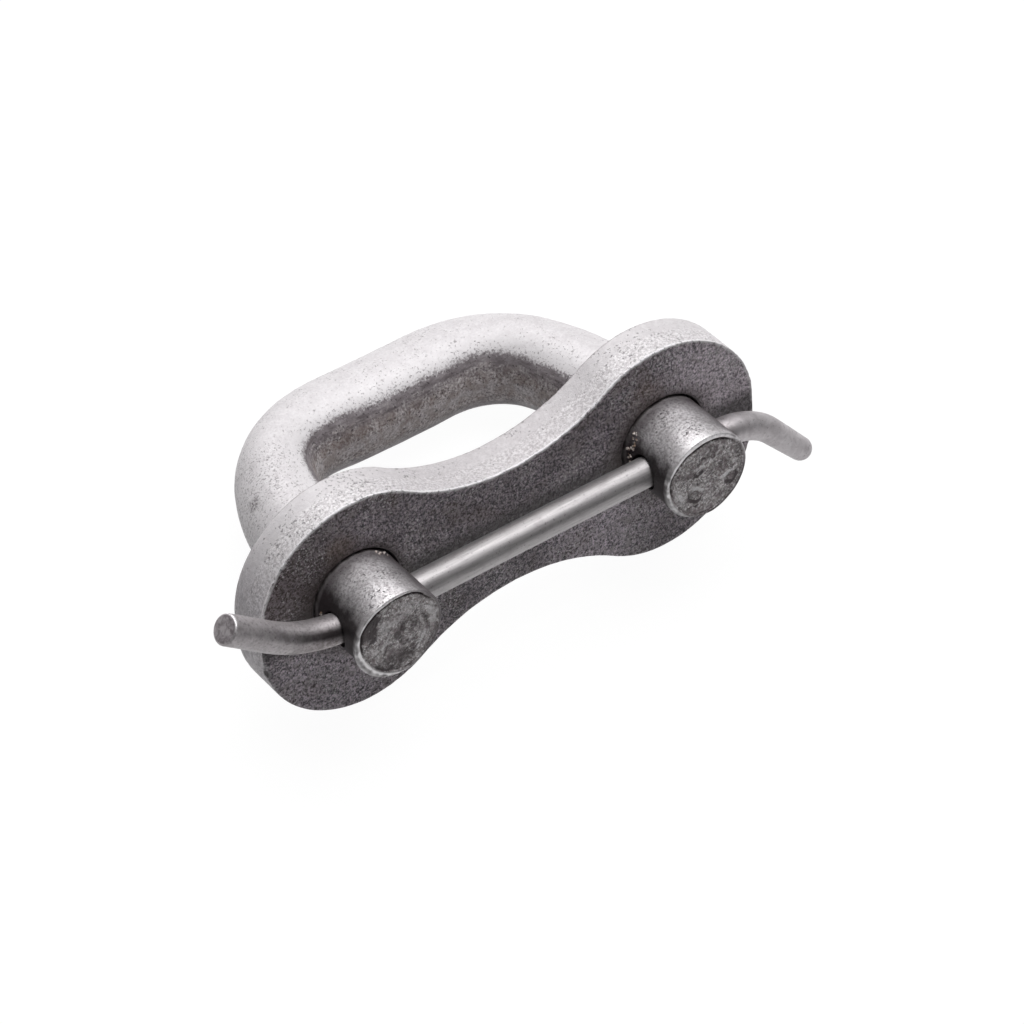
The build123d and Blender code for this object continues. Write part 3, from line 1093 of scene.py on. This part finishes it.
def drawn_wire():
    """The pin's finish: bright drawn wire between the arms, dulled by a film on its two bent ends, with a
    painted dark reflection on the left end and a painted glint on its cut edge.
    """
    metal, bench, shader = new_metal("drawn_wire_steel")
    where = flat_place(bench)
    x, _, z = where.split()
    along = bench.mark("along")
    round_the_wire = bench.vector("SCALE", bench.mark("section", "Vector"), 7.0)
    down_the_wire = bench.made("ShaderNodeCombineXYZ", {2: along * 0.2})
    lines = bench.vector("ADD", round_the_wire, down_the_wire).noise(1.0, 3.0, 0.6)
    film = where.noise(0.5, 5.0, 0.7, 0.6)
    grain = where.noise(2.6, 3.0, 0.65)
    mottle = where.noise(0.9, 4.0, 0.7, 0.8)
    from_middle = abs(x + 1.5) + film * 6.0
    dull = from_middle.ramp(31.0, 38.0, smooth=True)

    bright = lines.grade(0.3, 0.7, (0.37, 0.354, 0.359, 1.0), (0.52, 0.499, 0.504, 1.0)).coats(
        (film.ramp(0.52, 0.68, 0.0, 0.35), steel(0.24)),
    )
    upper = (z + film * 3.0).ramp(1.0, 5.0)
    rough_film = grain.ramp(0.46, 0.58, 0.0, 0.6) * upper.ramp(0.0, 1.0, 1.0, 0.3)
    filmed = film.grade(0.42, 0.58, steel(0.42, 0.01), steel(0.13, 0.03)).coats(
        (upper * 0.62, steel(0.60)),
        (rough_film, steel(0.10, 0.14)),
        (x.ramp(33.0, 36.0), film.grade(0.36, 0.64, steel(0.62), steel(0.44))),
    )
    # Painted dark reflection in a band round the pin's left end, set by which way the surface faces
    painted_dark_reflection = abs(bench.mark("upward") - 0.42).ramp(0.12, 0.34, 0.85, 0.0)
    painted_dark_reflection = painted_dark_reflection * (x + film * 6.0).ramp(-47.0, -34.0) * x.ramp(-32.0, -33.0)
    # Painted glint along part of the edge of the pin's cut end
    painted_cut_glint = along.ramp(0.05, 0.12) * along.ramp(0.34, 0.56, 1.0, 0.0)
    painted_cut_glint = painted_cut_glint * mottle.ramp(0.38, 0.52) * where.spot(*CUT_END_GLINT)
    cut_face = mottle.grade(0.40, 0.60, steel(0.18), steel(0.42))
    base = bright.coats(
        (dull, filmed),
        (grain.ramp(0.60, 0.68, 0.0, 0.6), steel(0.15)),
        (along.ramp(0.012, 0.03, 1.0, 0.0), cut_face),
        (painted_dark_reflection, steel(0.045, 0.05)),
        (painted_cut_glint * 0.9, steel(0.96)),
    )
    worn = from_middle.ramp(37.0, 46.0)
    bench.fill(shader, {
        "Base Color": base,
        "Metallic": worn.ramp(0.0, 1.0, 0.84, 0.60),
        "Roughness": (dull + film * 0.4).ramp(0.2, 1.4, 0.54, 0.50),
        "Normal": bench.bump(lines * 0.4 + grain, 0.012, 0.6),
    })
    return metal


def loose_scale():
    """The crumbs' finish: pale and brown flakes of scale."""
    metal, bench, shader = new_metal("loose_scale")
    where = flat_place(bench)
    chance = where.noise(1.4, 2.0, 0.6)
    grain = where.noise(6.0, 2.0, 0.6)
    base = chance.grade(0.38, 0.56, steel(0.16, 0.30), steel(0.90, 0.05)).coats(
        (grain.ramp(0.45, 0.65, 0.0, 0.5), steel(0.35, 0.3)),
    )
    bench.fill(shader, {
        "Base Color": base,
        "Metallic": 0.1,
        "Roughness": grain.ramp(0.3, 0.7, 0.45, 0.75),
        "Normal": bench.bump(grain, 0.03, 1.0),
    })
    return metal


# ---- pieces

bar = bar_tree()
tumbled = tumbled_tree()

bow = worked("tumbled_bow", path_curve("bow_line", bow_stations()), tumbled_bar(), [
    (bar, {"Ring points": 132}),
    (tumbled, {"Dent size": 5.0, "Dent depth": 0.08, "Pit size": 0.9, "Pit depth": 0.05}),
])
close_poles(bow.data)
mark_the_round(bow.data)
thin_the_corners(bow.data)
shear_the_ends(bow.data)
cut_cross_holes(bow)
mend(bow.data)

plate = worked("punched_side_plate", plate_mesh(), punched_plate(), [
    (tumbled, {"Dent size": 3.0, "Dent depth": 0.04, "Pit size": 0.8, "Pit depth": 0.04}),
])
mark_the_plate(plate.data)

pin = worked("bent_locking_pin", path_curve("pin_line", pin_stations()), drawn_wire(), [
    (bar, {"Ring points": 72}),
    (tumbled, {"Dent size": 4.0, "Dent depth": 0.02, "Pit size": 0.7, "Pit depth": 0.01}),
])
close_poles(pin.data)
# `upward` sets where the painted dark reflection lies on the pin
store(pin.data, "upward", [vertex.normal.z for vertex in pin.data.vertices])

noise.seed_set(7)
crumbs = worked("scale_crumbs", crumb_points(), loose_scale(), [
    (crumb_tree(), {"Smallest": 0.07, "Largest": 0.22, "Seed": 3}),
])
crumbs.data.transform(laid)
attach(crumbs, "bow")

for piece, node, finish in (
    (bow, "bow", "forged_bar"),
    (plate, "side_plate", "punched_plate"),
    (pin, "locking_pin", "drawn_wire"),
):
    piece.data.transform(laid)
    for vertex in piece.data.vertices:
        vertex.co.z = max(0.0, vertex.co.z)
    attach(piece, node)
    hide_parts(node)

# ---- floor, lamps and camera


def pale_floor():
    """A pale floor that shows white to the camera and in reflections, and keeps a soft shadow."""
    metal, bench, shader = new_metal("pale_floor")
    output = shader.outputs[0].links[0].to_socket
    bench.fill(shader, {"Base Color": (0.5, 0.5, 0.5, 1.0), "Roughness": 0.9, "Specular IOR Level": 0.0})
    rays = bench.put("ShaderNodeLightPath").outputs
    seen = bench.most(*(rays[f"Is {kind} Ray"] for kind in ("Camera", "Glossy", "Transmission")))
    white = bench.made("ShaderNodeEmission", {"Color": (1, 1, 1, 1), "Strength": 1.12})
    both = bench.put("ShaderNodeMixShader", {0: seen * 0.86, 1: shader.outputs[0], 2: white})
    bench.tree.links.new(both.outputs[0], output)
    return metal


bpy.ops.mesh.primitive_plane_add(size=8.0, location=(0, 0, 0))
floor = bpy.context.object
floor.name = "floor"
floor.data.materials.append(pale_floor())

world = bpy.data.worlds.new("soft_room")
bpy.context.scene.world = world
world.use_nodes = True
room = world.node_tree.nodes["Background"]
room.inputs["Color"].default_value = (0.9, 0.9, 0.92, 1.0)
room.inputs["Strength"].default_value = 0.06


def lamp(name, place, aim, size, power):
    light = bpy.data.lights.new(name, "AREA")
    light.shape = "RECTANGLE"
    light.size, light.size_y = size
    light.energy = power
    thing = placed(name, light)
    thing.location = place
    thing.rotation_euler = (Vector(aim) - Vector(place)).to_track_quat("-Z", "Y").to_euler()


lamp("overhead_lamp", (0.24, 0.25, 0.88), (0, 0, 0.02), (0.75, 0.75), 8.4)
lamp("back_lamp", (0.10, 0.84, 0.46), (0, 0, 0.02), (0.6, 0.4), 3.4)

eye = Vector((-0.26633, -0.22256, 0.57118))
aim = Vector((0.00092, -0.01238, 0.02067))
roll = Matrix.Rotation(radians(20.4), 3, "Z").to_quaternion()
camera = bpy.data.cameras.new("camera")
camera.lens = 159.2
camera.sensor_width = 36.0
camera.clip_start = 0.01
view = placed("camera", camera)
view.location = eye
view.rotation_euler = ((aim - eye).to_track_quat("-Z", "Y") @ roll).to_euler()
bpy.context.scene.camera = view
bpy.context.scene.view_settings.view_transform = "Standard"
